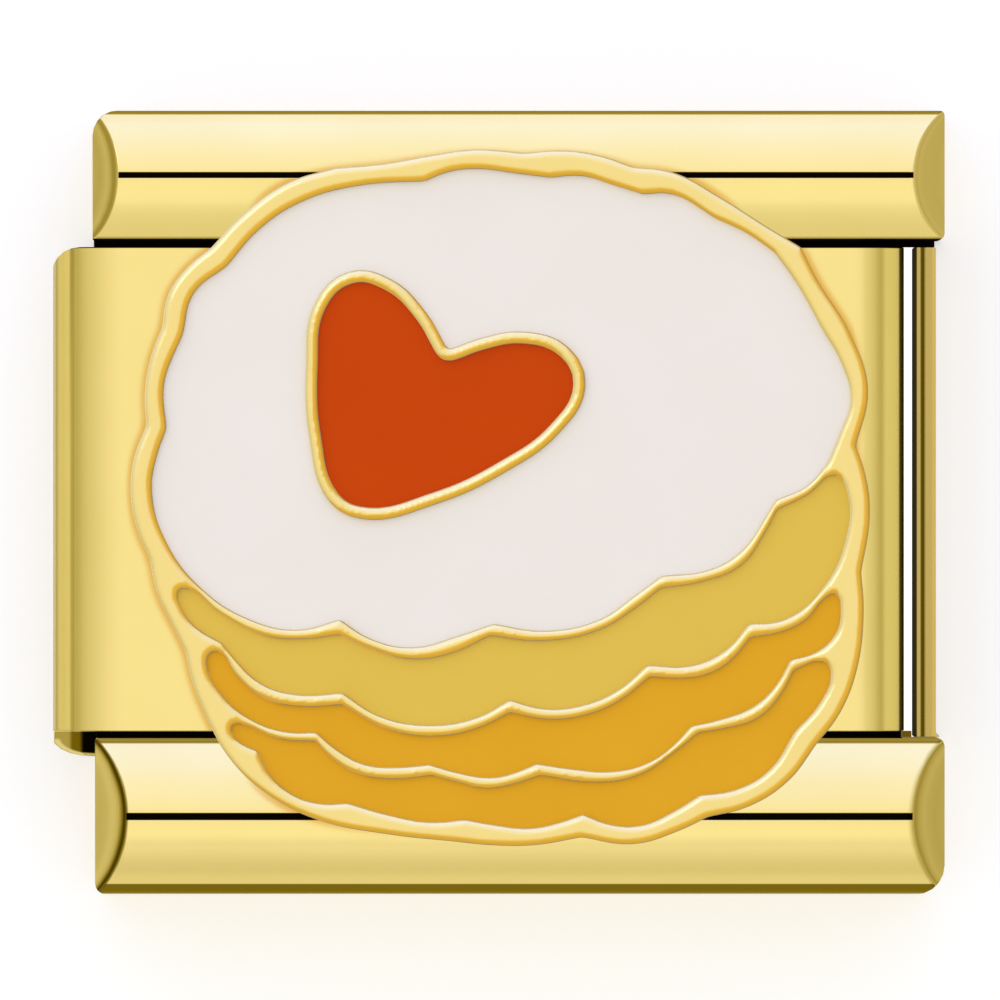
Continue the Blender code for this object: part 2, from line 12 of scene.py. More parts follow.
import bmesh
import bpy
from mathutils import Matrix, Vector


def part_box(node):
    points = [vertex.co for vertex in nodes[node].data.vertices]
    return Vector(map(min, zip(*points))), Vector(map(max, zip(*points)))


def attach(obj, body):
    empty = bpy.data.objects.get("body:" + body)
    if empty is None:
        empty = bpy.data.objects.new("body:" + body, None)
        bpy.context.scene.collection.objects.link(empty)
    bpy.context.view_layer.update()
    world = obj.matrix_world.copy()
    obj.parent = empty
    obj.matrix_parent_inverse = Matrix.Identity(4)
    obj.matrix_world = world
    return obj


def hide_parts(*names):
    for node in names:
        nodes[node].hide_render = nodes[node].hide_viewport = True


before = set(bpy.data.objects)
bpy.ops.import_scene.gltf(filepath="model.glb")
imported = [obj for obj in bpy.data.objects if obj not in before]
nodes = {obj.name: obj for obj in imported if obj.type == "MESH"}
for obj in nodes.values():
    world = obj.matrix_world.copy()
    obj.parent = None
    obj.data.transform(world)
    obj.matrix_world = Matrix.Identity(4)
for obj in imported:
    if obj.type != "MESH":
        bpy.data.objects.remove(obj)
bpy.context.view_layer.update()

MM = 0.001
print("pieces in the frame:", ", ".join(sorted(nodes)))

# %% [markdown]
# ## The camera
# The picture was taken from straight above, with no visible perspective: the rails' ends stay parallel and
# the sides of the link don't show. An orthographic camera would do that too, but a very long lens lets the
# camera be moved round the object later without cutting it off. The width of the view at the rails' crest
# sets the distance, because the crest is the height at which the outlines were measured.

# %% Camera straight above the link
PICTURE_WIDTH = 11.465 * MM
PICTURE_MIDDLE = (0.017 * MM, 0.029 * MM)
LENS = 1500
SENSOR = 36
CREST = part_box("rail_top")[1].z

camera_data = bpy.data.cameras.new("camera_above")
camera_data.lens = LENS
camera_data.sensor_width = SENSOR
camera = bpy.data.objects.new("camera_above", camera_data)
bpy.context.scene.collection.objects.link(camera)
distance = PICTURE_WIDTH * LENS / SENSOR
camera.location = (*PICTURE_MIDDLE, CREST + distance)
camera_data.clip_start = distance / 10
camera_data.clip_end = distance * 2
bpy.context.scene.camera = camera
print("camera height in mm:", round(camera.location.z / MM, 1))

# %% [markdown]
# ## Light for polished metal
# Polished metal has hardly any colour of its own light and shade: it shows its surroundings. The rails are
# brightest on the side towards the top of the picture, a little darker on the side towards the bottom, and
# dark where they turn down past the horizon. So the surroundings are what has to be designed. A world that
# only depends on direction is the simplest studio: one brightness ramp for the two ends of the link, one
# for the top side and one for the bottom side, blended by direction.

# %% Helpers for shader nodes
def add(tree, kind, **settings):
    """Adds a shader node and sets what is named."""
    made = tree.nodes.new(kind)
    for key, value in settings.items():
        setattr(made, key, value)
    return made


def plug(tree, value, socket):
    """Joins an output to an input, or writes a plain value into it."""
    if isinstance(value, bpy.types.NodeSocket):
        tree.links.new(value, socket)
    else:
        socket.default_value = value


def maths(tree, operation, first, second=0.0, clamp=False):
    made = add(tree, "ShaderNodeMath", operation=operation, use_clamp=clamp)
    plug(tree, first, made.inputs[0])
    plug(tree, second, made.inputs[1])
    return made.outputs[0]


def product(tree, first, *others):
    """Multiplies shares from 0 to 1, so that the result is 1 only where all of them are."""
    for other in others:
        first = maths(tree, "MULTIPLY", first, other)
    return first


def opposite(tree, share):
    """What is missing to 1."""
    return maths(tree, "SUBTRACT", 1.0, share)


def axes(tree, vector):
    parts = add(tree, "ShaderNodeSeparateXYZ")
    plug(tree, vector, parts.inputs[0])
    return parts.outputs["X"], parts.outputs["Y"], parts.outputs["Z"]


def tint(tree, share, first, second):
    """Blends two colours."""
    made = add(tree, "ShaderNodeMix", data_type="RGBA")
    plug(tree, share, made.inputs["Factor"])
    plug(tree, first, made.inputs["A"])
    plug(tree, second, made.inputs["B"])
    return made.outputs["Result"]


def ramp(tree, place, stops):
    """A colour ramp through the stops. Each is a position from 0 to 1 and a colour, in rising order."""
    made = add(tree, "ShaderNodeValToRGB")
    plug(tree, place, made.inputs["Fac"])
    points = made.color_ramp.elements
    while len(points) < len(stops):
        points.new(0.5)
    for point, (position, colour) in zip(points, stops):
        point.position = position
        point.color = colour
    return made.outputs["Color"]


def srgb(red, green, blue):
    """A colour as a screen shows it, from 0 to 255, in the linear values that a shader takes."""
    def channel(value):
        value = value / 255
        return value / 12.92 if value <= 0.04045 else ((value + 0.055) / 1.055) ** 2.4
    return (channel(red), channel(green), channel(blue), 1.0)


print("node helpers ready")

# %% [markdown]
# The ramps are written as the tone that plain gold should show, since that is what the eye can compare.
# Gold multiplies the light that it reflects by its own colour, so each tone is divided by gold to get the
# light behind it. The brightest tones are nearly white, which makes the light there a little cool.

# %% Tones of the surroundings
GOLD = srgb(251, 229, 148)
BRIGHTEST = 3.0

towards_ends = [
    (0, (251, 228, 144)), (38, (247, 224, 144)), (62, (244, 219, 137)), (79, (232, 210, 125)),
    (93, (224, 202, 117)), (108, (211, 189, 106)), (117, (194, 172, 89)), (123, (181, 159, 76)),
    (127, (198, 176, 93)), (131, (226, 204, 121)), (142, (222, 200, 117)), (158, (217, 195, 112)),
    (180, (219, 194, 114)),
]
towards_top = [
    (0, (251, 228, 144)), (14, (254, 234, 164)), (34, (255, 238, 180)), (60, (255, 243, 198)),
    (92, (255, 246, 214)), (112, (255, 240, 190)), (119, (165, 140, 60)), (180, (150, 128, 48)),
]
towards_bottom = [
    (0, (251, 228, 144)), (20, (254, 232, 149)), (40, (254, 232, 149)), (50, (243, 221, 138)),
    (66, (234, 212, 129)), (86, (230, 208, 125)), (112, (228, 205, 122)), (150, (216, 193, 112)),
    (180, (206, 182, 98)),
]
print("surroundings:", len(towards_ends) + len(towards_top) + len(towards_bottom), "tones")

# %% Surroundings, one ramp for each side
TINY = 1e-6

world = bpy.data.worlds.new("studio")
world.use_nodes = True
bpy.context.scene.world = world
sky = world.node_tree
sky.nodes.clear()
direction = add(sky, "ShaderNodeTexCoord").outputs["Generated"]
sky_x, sky_y, sky_z = axes(sky, direction)
half_height = maths(sky, "MULTIPLY", sky_z, 0.5)
height = maths(sky, "ADD", half_height, 0.5)


def tone_ramp(stops):
    """A ramp by the angle from overhead in degrees. It is stored as a share of the brightest light."""
    placed = sorted(((1 + math.cos(math.radians(angle))) / 2, tone) for angle, tone in stops)
    lights = []
    for place, tone in placed:
        light = [wanted / gold / BRIGHTEST for wanted, gold in zip(srgb(*tone)[:3], GOLD[:3])]
        lights.append((place, (*light, 1)))
    return ramp(sky, height, lights)


def side_share(side):
    """How far a direction points to the picture's top (1) or bottom (-1) rather than to the link's ends."""
    along_x = maths(sky, "MULTIPLY", sky_x, sky_x)
    along_y = maths(sky, "MULTIPLY", sky_y, sky_y)
    total = maths(sky, "ADD", maths(sky, "ADD", along_x, along_y), TINY)
    share = maths(sky, "DIVIDE", along_y, total)
    on_side = maths(sky, "GREATER_THAN", maths(sky, "MULTIPLY", sky_y, side), 0.0)
    return product(sky, share, on_side)


studio = tint(sky, side_share(1), tone_ramp(towards_ends), tone_ramp(towards_top))
studio = tint(sky, side_share(-1), studio, tone_ramp(towards_bottom))
background = add(sky, "ShaderNodeBackground")
plug(sky, studio, background.inputs["Color"])
background.inputs["Strength"].default_value = BRIGHTEST
plug(sky, background.outputs[0], add(sky, "ShaderNodeOutputWorld").inputs["Surface"])
print("surroundings ready")

# %% [markdown]
# ## A key light and a floor
# One soft lamp from the upper left gives the plate's raised walls part of their bright side and their dark
# side; the rest is painted highlight and painted shade in the plate's finish. The lamp casts no shadow of its
# own: the soft shadows come from the surroundings. The floor is plain and pale, and it glows a little, like
# paper on a light table, so that the shadow on it stays faint. Its mirror image is switched off, because a
# polished rail would show it right beside the link, where the real picture shows a dark horizon. Two patches
# under the link differ from the rest. The paper under the slit at the right end gets a stronger painted glow,
# a painted light for light from behind that shows through the slit. Under the sleeve the paper gets painted
# shade: it is dark and doesn't glow, because the hairline between the sleeve and the lower rail looks black.

# %% Key light
KEY_SIZE = 30 * MM
KEY_POWER = 0.003
KEY_PLACE = (-34 * MM, 34 * MM, 52 * MM)

key_data = bpy.data.lights.new("key", "AREA")
key_data.shape = "DISK"
key_data.size = KEY_SIZE
key_data.energy = KEY_POWER
key_data.use_shadow = False
key = bpy.data.objects.new("key", key_data)
bpy.context.scene.collection.objects.link(key)
key.location = KEY_PLACE
key.rotation_euler = (-key.location).to_track_quat("-Z", "Y").to_euler()
print("key light at", [round(c / MM) for c in key.location], "mm")

# %% Floor
FLOOR_SIZE = 0.4
FLOOR_GAP = 0.005 * MM

floor_mesh = bpy.data.meshes.new("floor")
floor_bm = bmesh.new()
bmesh.ops.create_grid(floor_bm, x_segments=1, y_segments=1, size=FLOOR_SIZE / 2)
floor_bm.to_mesh(floor_mesh)
floor_bm.free()
floor = bpy.data.objects.new("floor", floor_mesh)
bpy.context.scene.collection.objects.link(floor)
floor.location.z = -FLOOR_GAP
floor.visible_glossy = False
print("floor", FLOOR_SIZE, "m wide")

# %% Paper of the floor
PAPER = (0.60, 0.60, 0.60, 1)
IN_SHADE = (0.02, 0.02, 0.02, 1)
OPEN_GLOW = 0.455
SLIT_PAINTED_GLOW = 0.56
SLIT_PATCH = (4.60 * MM, 4.78 * MM, 2.98 * MM)
SLEEVE_PATCH = (-4.655 * MM, 4.57 * MM, 2.88 * MM)

floor_finish = bpy.data.materials.new("floor_paper")
floor_finish.use_nodes = True
paper_tree = floor_finish.node_tree
paper = paper_tree.nodes["Principled BSDF"]
paper.inputs["Roughness"].default_value = 0.9
paper.inputs["Specular IOR Level"].default_value = 0.0
paper.inputs["Emission Color"].default_value = (1, 1, 1, 1)
floor_x, floor_y, _ = axes(paper_tree, add(paper_tree, "ShaderNodeTexCoord").outputs["Object"])
across = maths(paper_tree, "ABSOLUTE", floor_y)


def patch(left, right, half_length):
    """1 on a rectangle of the floor and 0 beside it."""
    return product(
        paper_tree, maths(paper_tree, "GREATER_THAN", floor_x, left),
        maths(paper_tree, "LESS_THAN", floor_x, right), maths(paper_tree, "LESS_THAN", across, half_length),
    )


# The paper under the slit gets a painted glow, and the paper under the sleeve gets painted shade: dark and
# without glow.
painted_glow_under_slit = patch(*SLIT_PATCH)
painted_shade_under_sleeve = patch(*SLEEVE_PATCH)
open_glow = maths(paper_tree, "SUBTRACT", OPEN_GLOW, maths(paper_tree, "MULTIPLY", painted_shade_under_sleeve, OPEN_GLOW))
glow = maths(paper_tree, "ADD", maths(paper_tree, "MULTIPLY", painted_glow_under_slit, SLIT_PAINTED_GLOW), open_glow)
plug(paper_tree, glow, paper.inputs["Emission Strength"])
plug(paper_tree, tint(paper_tree, painted_shade_under_sleeve, PAPER, IN_SHADE), paper.inputs["Base Color"])
floor_mesh.materials.append(floor_finish)
bpy.context.scene.view_settings.view_transform = "Standard"
print("floor dressed")

# %% [markdown]
# ## Polished edges
# No real edge is perfectly sharp. Polishing rounds it a little, and that narrow rounding is what catches
# the light. The CAD solids have sharp edges in most places, so each piece is copied, its flat faces are
# joined again from the triangles that the file stores, and its edges get a small bevel. Weighted normals
# then keep the flat faces flat and let only the bevels shade round. The work is done in millimetres and
# scaled back at the end, because Blender's mesh tools don't work well on parts a few hundredths of a
# millimetre wide.

# %% Copy a solid in millimetres
MERGE_DISTANCE = 0.0005
FLAT = math.radians(0.4)


def copy_in_mm(node):
    """A copy of the solid's mesh, without the normals that the file stores, its flat faces joined again."""
    mesh = nodes[node].data.copy()
    for layer in [layer for layer in mesh.attributes if layer.name == "custom_normal"]:
        mesh.attributes.remove(layer)
    bm = bmesh.new()
    bm.from_mesh(mesh)
    bmesh.ops.scale(bm, verts=bm.verts, vec=(1 / MM,) * 3)
    bmesh.ops.remove_doubles(bm, verts=bm.verts, dist=MERGE_DISTANCE)
    bmesh.ops.dissolve_limit(
        bm, angle_limit=FLAT, use_dissolve_boundaries=False, verts=bm.verts, edges=bm.edges,
    )
    return bm


def as_piece(bm, name):
    mesh = bpy.data.meshes.new(name)
    bm.to_mesh(mesh)
    bm.free()
    piece = bpy.data.objects.new(name, mesh)
    bpy.context.scene.collection.objects.link(piece)
    return piece


def settle(piece, node):
    """Applies the modifiers, scales the piece back to metres and lets it stand for its CAD solid."""
    depsgraph = bpy.context.evaluated_depsgraph_get()
    mesh = bpy.data.meshes.new_from_object(piece.evaluated_get(depsgraph))
    piece.modifiers.clear()
    piece.data = mesh
    for vertex in mesh.vertices:
        vertex.co = vertex.co * MM
    mesh.name = piece.name
    mesh.materials.clear()
    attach(piece, "root")
    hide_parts(node)
    mesh.calc_loop_triangles()
    print(piece.name, "has", len(mesh.loop_triangles), "triangles")
    return piece


print("mesh helpers ready")

# %% [markdown]
# Only edges where two faces meet at a clear angle are rounded. The rails' crowns are made of many narrow
# faces, and the edges between those stay as they are. One small bevel width serves for a whole piece, since
# a wide one would fold over itself at the ends of the groove.

# %% Polish the link's pieces
SHARP = math.radians(28)
BEVEL_STEPS = 3
RAIL_ROUNDING = 0.007
SLEEVE_ROUNDING = 0.006
BAR_ROUNDING = 0.004


def polished_copy(node, name, width):
    """Rounds the sharp edges by a bevel of that width, in millimetres."""
    bm = copy_in_mm(node)
    weight = bm.edges.layers.float.new("bevel_weight_edge")
    for edge in bm.edges:
        if len(edge.link_faces) == 2 and edge.calc_face_angle() > SHARP:
            edge[weight] = 1.0
    piece = as_piece(bm, name)
    piece.data.shade_smooth()
    bevel = piece.modifiers.new("polished edges", "BEVEL")
    bevel.limit_method = "WEIGHT"
    bevel.width = width
    bevel.segments = BEVEL_STEPS
    bevel.use_clamp_overlap = False
    normals = piece.modifiers.new("flat faces stay flat", "WEIGHTED_NORMAL")
    normals.weight = 80
    return settle(piece, node)


rail_top = polished_copy("rail_top", "rail_top_polished", RAIL_ROUNDING)
rail_bottom = polished_copy("rail_bottom", "rail_bottom_polished", RAIL_ROUNDING)
sleeve = polished_copy("sleeve", "sleeve_polished", SLEEVE_ROUNDING)
hook_bar = polished_copy("hook_bar", "hook_bar_polished", BAR_ROUNDING)
for piece in (rail_top, rail_bottom, sleeve, hook_bar):
    piece.visible_glossy = False

# %% [markdown]
# ## Tools for the finishes
# Every finish starts from the same place: the point on the object in millimetres. Noise that is read there
# has the same grain on every piece, whatever its shape, and it needs no unwrapping. A few small helpers
# keep the finishes below short.

# %% Helpers that all finishes use
def new_finish(name):
    finish = bpy.data.materials.new(name)
    finish.use_nodes = True
    tree = finish.node_tree
    return finish, tree, tree.nodes["Principled BSDF"]


def place_in_mm(tree):
    """The point on the object, in millimetres from the origin."""
    scaled = add(tree, "ShaderNodeVectorMath", operation="SCALE")
    plug(tree, add(tree, "ShaderNodeTexCoord").outputs["Object"], scaled.inputs[0])
    scaled.inputs["Scale"].default_value = 1 / MM
    return scaled.outputs[0]


def facing(tree):
    """The direction in which the surface faces, as three shares."""
    return axes(tree, add(tree, "ShaderNodeTexCoord").outputs["Normal"])


def grain(tree, place, per_mm, detail=3.0, stretch=(1, 1, 1)):
    """Noise from 0 to 1, with that many grains to the millimetre, longer where the stretch is small."""
    stretched = add(tree, "ShaderNodeVectorMath", operation="MULTIPLY")
    plug(tree, place, stretched.inputs[0])
    stretched.inputs[1].default_value = stretch
    noise = add(tree, "ShaderNodeTexNoise")
    plug(tree, stretched.outputs[0], noise.inputs["Vector"])
    noise.inputs["Scale"].default_value = per_mm
    noise.inputs["Detail"].default_value = detail
    return noise.outputs["Fac"]


def between(tree, value, low, high):
    """Rises from 0 at the low value to 1 at the high one, or falls where low is above high."""
    made = add(tree, "ShaderNodeMapRange", interpolation_type="SMOOTHSTEP")
    plug(tree, value, made.inputs["Value"])
    made.inputs["From Min"].default_value = min(low, high)
    made.inputs["From Max"].default_value = max(low, high)
    made.inputs["To Min"].default_value = 0.0 if low < high else 1.0
    made.inputs["To Max"].default_value = 1.0 if low < high else 0.0
    return made.outputs["Result"]


def inside(tree, value, low, high, soft):
    """1 between two values and 0 outside them, with soft borders."""
    rising = between(tree, value, low - soft, low + soft)
    falling = between(tree, value, high + soft, high - soft)
    return product(tree, rising, falling)


NOISE_RANGE = (0.25, 0.75)


def spread(tree, value, low, high):
    """Maps noise onto a range. Noise hardly ever leaves the middle half of 0 to 1."""
    made = add(tree, "ShaderNodeMapRange")
    plug(tree, value, made.inputs["Value"])
    made.inputs["From Min"].default_value = NOISE_RANGE[0]
    made.inputs["From Max"].default_value = NOISE_RANGE[1]
    made.inputs["To Min"].default_value = low
    made.inputs["To Max"].default_value = high
    return made.outputs["Result"]


def bumps(tree, shader, value, depth_mm, strength=1.0):
    made = add(tree, "ShaderNodeBump")
    made.inputs["Strength"].default_value = strength
    made.inputs["Distance"].default_value = depth_mm * MM
    plug(tree, value, made.inputs["Height"])
    plug(tree, made.outputs["Normal"], shader.inputs["Normal"])


def dress(piece, finish):
    piece.data.materials.clear()
    piece.data.materials.append(finish)


print("helpers ready")

# %% [markdown]
# ## Polished gold plating
# The rails, the sleeve and the hook bar are steel with gold-coloured plating. It is smooth, but not a
# perfect mirror: there are faint rolling marks along the link, tiny scratches, and a slow wave in the
# polish. The grooves and the gaps between the pieces look black in the picture. Light hardly gets out of
# them, so their walls get painted shade, a dark tone by where they are. Right beside the plate, the plating
# gets a painted reflection of the plate's warm side wall, which also works as painted shade where the plate
# meets the link. The Ambient Occlusion node finds that narrow strip, because it measures how much of the
# sky a point sees.

# %% Gold plating
GOLD_DEEP = srgb(238, 212, 124)
EDGE_TINT = (0.985, 0.90, 0.54, 1)
WALL_REFLECTION_TONE = srgb(230, 180, 84)
CONTACT_REACH = 0.13 * MM
SKY_SEEN = (0.95, 0.55)
PLATE_FOOT = (2.2, 2.4)
CORNER_SLOPE = 0.6
CORNER = (-3.6, -2.2)


def wall_reflection_strip(tree, place):
    """1 right beside the plate, but not at its lower right, where the picture shows no such strip."""
    sky_seen = add(tree, "ShaderNodeAmbientOcclusion", samples=8)
    sky_seen.inputs["Distance"].default_value = CONTACT_REACH
    x, y, z = axes(tree, place)
    off_corner = maths(tree, "SUBTRACT", y, maths(tree, "MULTIPLY", x, CORNER_SLOPE))
    return product(
        tree, between(tree, sky_seen.outputs["AO"], *SKY_SEEN), between(tree, z, *PLATE_FOOT),
        between(tree, off_corner, *CORNER),
    )


def polished_gold(name, marks_along, roughness):
    """Gold plating with rolling marks along one axis. Returns the material, its nodes, colour and place."""
    finish, tree, shader = new_finish(name)
    place = place_in_mm(tree)
    waves = grain(tree, place, 0.8, 2.0)
    marks = grain(tree, place, 40.0, 2.0, marks_along)
    scratches = grain(tree, place, 90.0, 1.0, (0.15, 1, 1))
    colour = tint(tree, spread(tree, waves, 0.0, 0.18), GOLD, GOLD_DEEP)
    # Painted reflection of the plate's warm side wall, also painted shade, in the strip beside the plate.
    colour = tint(tree, wall_reflection_strip(tree, place), colour, WALL_REFLECTION_TONE)
    rough = maths(tree, "ADD", spread(tree, marks, -0.02, 0.03), roughness)
    rough = maths(tree, "ADD", rough, spread(tree, waves, -0.015, 0.02), clamp=True)
    plug(tree, rough, shader.inputs["Roughness"])
    shader.inputs["Specular Tint"].default_value = EDGE_TINT
    shader.inputs["Specular IOR Level"].default_value = 0.0
    relief = maths(tree, "ADD", marks, maths(tree, "MULTIPLY", scratches, 0.4))
    bumps(tree, shader, relief, 0.0004, 0.5)
    return finish, tree, shader, colour, place


print("plating ready")

# %% Painted shade for dark places
SHADE_BLACK = (0.004, 0.003, 0.001, 1)


def paint(tree, shader, colour, dark, matt=0.0):
    """Joins the colour to the shader, with painted shade in dark places. These are matt too, so they mirror
    nothing.
    """
    plug(tree, tint(tree, dark, colour, SHADE_BLACK), shader.inputs["Base Color"])
    plug(tree, opposite(tree, maths(tree, "MAXIMUM", dark, matt)), shader.inputs["Metallic"])


print("dark places ready")

# %% [markdown]
# The rails need the most care. The slanted facet at each end gets painted bands of shade and reflection that
# run along the arc where it meets the crown. The crown follows a circle and the facet is a plane, so the
# circle's height less the plane's height, at any place, tells how far that place is from the arc: above zero
# on the facet, below zero on the crown. A colour ramp over that number draws the painted bands. The tones in
# the lists are the ones that should be seen, so each is divided by what plain gold shows there.

# %% Painted shade and reflection tones along the facets' arcs
CROWN_LIGHT = (250, 229, 150)
LEFT_LIGHT = (200, 179, 95)
RIGHT_LIGHT = (212, 191, 106)

# Each list holds painted shade and reflection tones: how far past the arc, and the tone to be seen there.
top_left_tones = [
    (-0.12, (250, 229, 150)), (0.0, (200, 178, 95)), (0.02, (186, 164, 81)), (0.04, (164, 140, 59)),
    (0.065, (157, 135, 52)), (0.095, (161, 139, 56)), (0.14, (188, 166, 83)), (0.19, (201, 179, 96)),
    (0.26, (193, 171, 88)), (0.33, (186, 163, 80)), (0.44, (192, 168, 86)),
]
top_right_tones = [
    (-0.12, (250, 229, 150)), (-0.025, (250, 229, 150)), (-0.001, (205, 183, 99)), (0.0, (200, 179, 96)),
    (0.045, (186, 164, 81)), (0.08, (195, 173, 90)), (0.14, (190, 168, 85)), (0.32, (188, 166, 83)),
    (0.44, (192, 170, 87)),
]
bottom_left_tones = [
    (-0.12, (250, 229, 150)), (-0.034, (250, 229, 150)), (-0.018, (190, 166, 86)), (-0.001, (112, 94, 18)),
    (0.0, (108, 90, 16)), (0.018, (68, 53, 4)), (0.036, (58, 46, 4)), (0.060, (104, 82, 4)),
    (0.085, (148, 126, 44)), (0.115, (180, 158, 75)), (0.16, (194, 172, 89)), (0.21, (196, 174, 91)),
    (0.30, (186, 164, 81)), (0.44, (182, 160, 77)),
]
bottom_right_tones = [
    (-0.12, (250, 229, 150)), (-0.07, (250, 229, 150)), (-0.03, (224, 201, 120)), (-0.001, (184, 162, 79)),
    (0.0, (176, 154, 71)), (0.035, (157, 135, 52)), (0.09, (181, 159, 76)), (0.15, (191, 169, 86)),
    (0.22, (185, 163, 80)), (0.32, (180, 158, 75)), (0.44, (185, 163, 80)),
]
print("tones at the upper rail's ends:", len(top_left_tones), "and", len(top_right_tones))
print("tones at the lower rail's ends:", len(bottom_left_tones), "and", len(bottom_right_tones))

# %% Helpers for the bands
CREST_MM = CREST / MM
FACET_DROP = 0.46
FACET_FOOT = CREST_MM - FACET_DROP
RAMP_START = -0.12
RAMP_LENGTH = 0.56


def share_of(tone, seen):
    """What plain gold has to be multiplied by, so that the tone that it shows becomes the one to be seen."""
    wanted, shown = srgb(*tone), srgb(*seen)
    return (*(min(1.0, w / s) for w, s in zip(wanted[:3], shown[:3])), 1)


def darken(tree, colour, shares):
    """Multiplies a colour by shares from 0 to 1."""
    made = add(tree, "ShaderNodeMix", data_type="RGBA", blend_type="MULTIPLY")
    made.inputs["Factor"].default_value = 1.0
    plug(tree, colour, made.inputs["A"])
    plug(tree, shares, made.inputs["B"])
    return made.outputs["Result"]


def crown_height(tree, y, middle, radius):
    """How high the crown's circle passes at a place, in millimetres."""
    across = maths(tree, "SUBTRACT", y, middle)
    squared = maths(tree, "SUBTRACT", radius ** 2, maths(tree, "MULTIPLY", across, across))
    return maths(tree, "ADD", maths(tree, "SQRT", squared), CREST_MM - radius)


def painted_facet_bands(tree, x, crown, side, crest_x, inset, light, stops):
    """Painted tones of shade and reflection along the arc at one end, by how far the crown's circle passes
    above the facet's plane.

    Returns them as shares of plain gold, and how much of a place is crown rather than facet.
    """
    outward = maths(tree, "MULTIPLY", maths(tree, "SUBTRACT", x, crest_x), side)
    plane = maths(tree, "SUBTRACT", CREST_MM, maths(tree, "MULTIPLY", outward, FACET_DROP / inset))
    past_arc = maths(tree, "SUBTRACT", crown, plane)
    place = maths(tree, "DIVIDE", maths(tree, "SUBTRACT", past_arc, RAMP_START), RAMP_LENGTH, clamp=True)
    shares = []
    for past, tone in stops:
        seen = CROWN_LIGHT if past < 0 else light
        shares.append(((past - RAMP_START) / RAMP_LENGTH, share_of(tone, seen)))
    return ramp(tree, place, shares), between(tree, past_arc, 0.0, -0.02)


print("the facets' foot is", round(FACET_FOOT, 2), "mm high")

# %% Rail finish
WHITE = (1, 1, 1, 1)
LEDGE_SHADE = srgb(104, 82, 14)
LEDGE_SIDE = (-0.018, -0.006)
GROOVE_FLOOR = (CREST_MM - 0.12, CREST_MM - 0.09)
GROOVE_SOFT = 0.004
END_SOFT = 0.006


def rail_gold(
    name, low_y, high_y, radius, groove_half, inner, black_below, black_until, left, right, bands,
):
    """Rail plating with painted shade: dark in the groove and in the gap beside the sleeve, and painted bands
    of shade at the facets and edges, with painted reflection at the facets.

    Left and right hold where the crest ends, how long the facet is, what light it shows and its tones. A band
    is a painted shade tone, from where to where it reaches, and how soft it ends. Inner is where the side
    beside the sleeve stands, and which way it faces.
    """
    finish, tree, shader, colour, place = polished_gold(name, (0.05, 1, 1), 0.16)
    x, y, z = axes(tree, place)
    middle = (low_y + high_y) / 2
    streaks = spread(tree, grain(tree, place, 5.0, 2.0, (1.0, 0.25, 0.25)), -0.012, 0.012)
    crown = maths(tree, "ADD", crown_height(tree, y, middle, radius), streaks)
    left_tones, right_of_arc = painted_facet_bands(tree, x, crown, -1, *left)
    right_tones, left_of_arc = painted_facet_bands(tree, x, crown, 1, *right)

    above_foot = between(tree, z, FACET_FOOT - 0.05, FACET_FOOT - 0.03)
    on_crown = product(tree, above_foot, right_of_arc, left_of_arc)
    # Painted shade bands across the crown.
    for tone, start, stop, soft in bands:
        colour = tint(tree, product(tree, inside(tree, y, start, stop, soft), on_crown), colour, tone)
    # Painted shade and reflection along the facets' arcs.
    facets = darken(tree, left_tones, right_tones)
    upright = between(tree, z, FACET_FOOT, FACET_FOOT - 0.04)
    colour = darken(tree, colour, tint(tree, upright, facets, WHITE))

    # Painted shade: the groove's floor and the gap beside the sleeve are dark and matt.
    groove = product(
        tree, inside(tree, y, middle - groove_half, middle + groove_half, GROOVE_SOFT),
        between(tree, z, *GROOVE_FLOOR), inside(tree, x, left[0], right[0], END_SOFT),
    )
    edge, sign = inner
    reach = maths(tree, "MULTIPLY", maths(tree, "SUBTRACT", y, edge), sign)
    low_down = between(tree, z, black_below, black_below - 0.10)
    ledge = product(tree, between(tree, reach, *LEDGE_SIDE), low_down)
    # Past the sleeve's end the ledge gets an olive painted shade instead of the dark gap.
    past_end = between(tree, x, black_until - 0.01, black_until + 0.01)
    colour = tint(tree, product(tree, ledge, past_end), colour, LEDGE_SHADE)
    gap = product(tree, ledge, opposite(tree, past_end))
    paint(tree, shader, colour, maths(tree, "MAXIMUM", groove, gap))
    return finish


print("rail finish ready")

# %% Dress the rails
# In millimetres: the crown across, its radius, half the groove's width, and where the gap's painted shade is
# black
top_rail = dict(
    low_y=3.01, high_y=4.50, radius=0.838, groove_half=0.034, inner=(3.017, -1), black_below=2.30,
    black_until=5.20,
)
bottom_rail = dict(
    low_y=-4.50, high_y=-2.70, radius=1.103, groove_half=0.041, inner=(-2.70, 1), black_below=2.05,
    black_until=4.64,
)
# Painted shade bands near the crowns' edges and over part of the lower rail's lower half.
top_shade_bands = [(srgb(242, 212, 98), 4.470, 4.60, 0.007), (srgb(200, 176, 92), 2.90, 3.048, 0.012)]
bottom_shade_bands = [
    (srgb(237, 214, 135), -4.27, -3.86, 0.07), (srgb(172, 148, 62), -2.765, -2.742, 0.007),
    (srgb(132, 110, 20), -4.60, -4.375, 0.007),
]
dress(rail_top, rail_gold(
    "rail_top_gold", **top_rail, left=(-4.36, 0.30, LEFT_LIGHT, top_left_tones),
    right=(4.76, 0.36, RIGHT_LIGHT, top_right_tones), bands=top_shade_bands,
))
dress(rail_bottom, rail_gold(
    "rail_bottom_gold", **bottom_rail, left=(-4.27, 0.36, LEFT_LIGHT, bottom_left_tones),
    right=(4.75, 0.37, RIGHT_LIGHT, bottom_right_tones), bands=bottom_shade_bands,
))
print("rails dressed")

